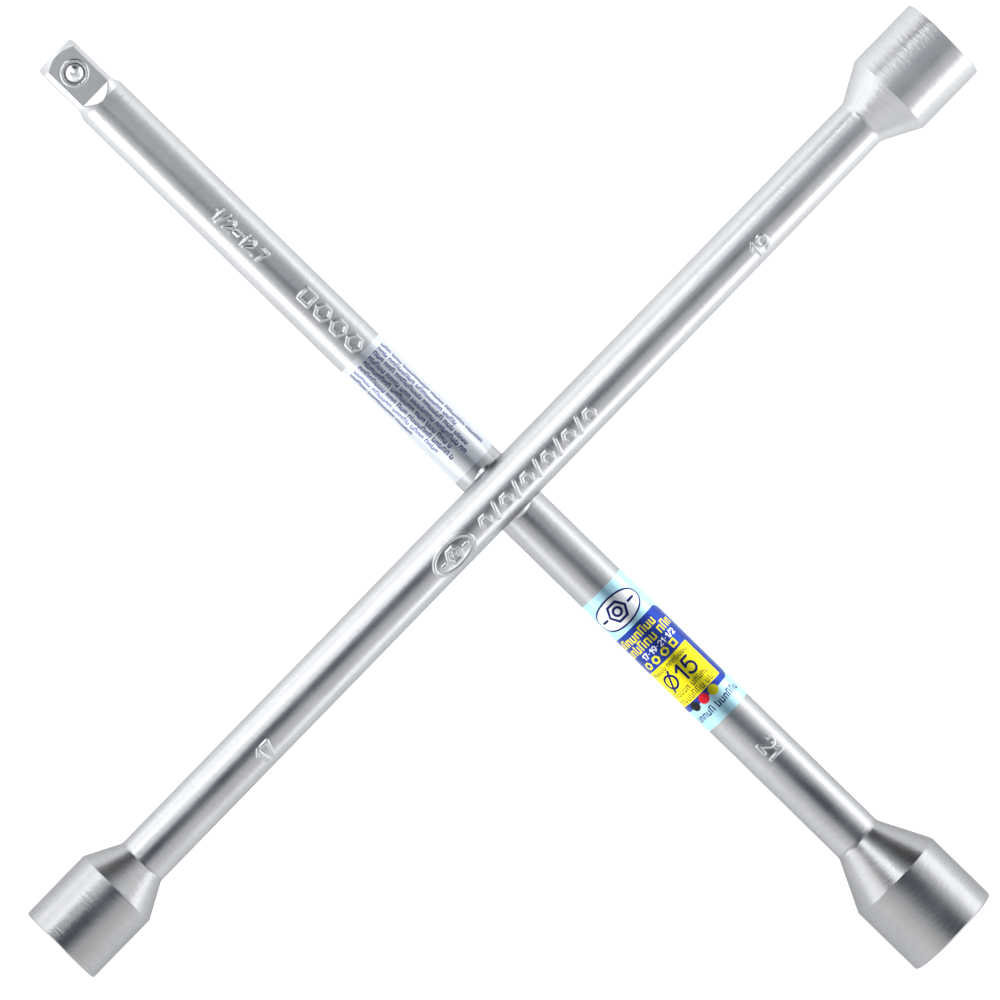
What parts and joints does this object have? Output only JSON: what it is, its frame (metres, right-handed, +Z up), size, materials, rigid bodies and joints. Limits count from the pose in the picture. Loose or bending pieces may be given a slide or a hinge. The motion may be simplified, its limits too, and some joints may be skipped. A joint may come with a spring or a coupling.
{
  "type": "cross lug wrench",
  "caption": "Cross-shaped lug wrench: crossed round steel bars with hexagon sockets on their ends and a square drive with a sprung detent ball.",
  "frame": {"origin": "under the crossing of the two bars, on the level of the lowest point of the largest socket", "axes": "+X along the front (upper) bar towards the 19 mm socket, +Y along the rear (lower) bar towards the square drive, +Z up, from the rear bar towards the front bar"},
  "size_m": [0.35, 0.3483, 0.036],
  "materials": {
    "satin_chrome": "satin chrome plate over forged steel, fine even grain",
    "turned_chrome": "satin chrome plate over turned steel, fine marks round the axis",
    "polished_ball": "polished hardened steel",
    "spring_steel": "bare drawn spring wire",
    "weld_metal": "dull resistance-weld metal",
    "printed_label": "printed self-adhesive film",
    "clear_label": "printed pale self-adhesive film"
  },
  "bodies": {
    "wrench": {"front_shank": "satin_chrome", "rear_shank": "satin_chrome", "socket_17": "turned_chrome", "socket_19": "turned_chrome", "socket_21": "turned_chrome", "centre_weld": "weld_metal", "detent_spring": "spring_steel", "size_label": "printed_label", "info_label": "clear_label"},
    "ball": {"detent_ball": "polished_ball"}
  },
  "joints": [
    {"name": "detent_press", "type": "slide", "parent": "wrench", "child": "ball", "axis": [0, 0, 1], "range_m": [-0.0014, 0], "stiffness_N_per_m": 3000, "springref_m": 0.0015, "deforming": ["detent_spring"]}
  ]
}
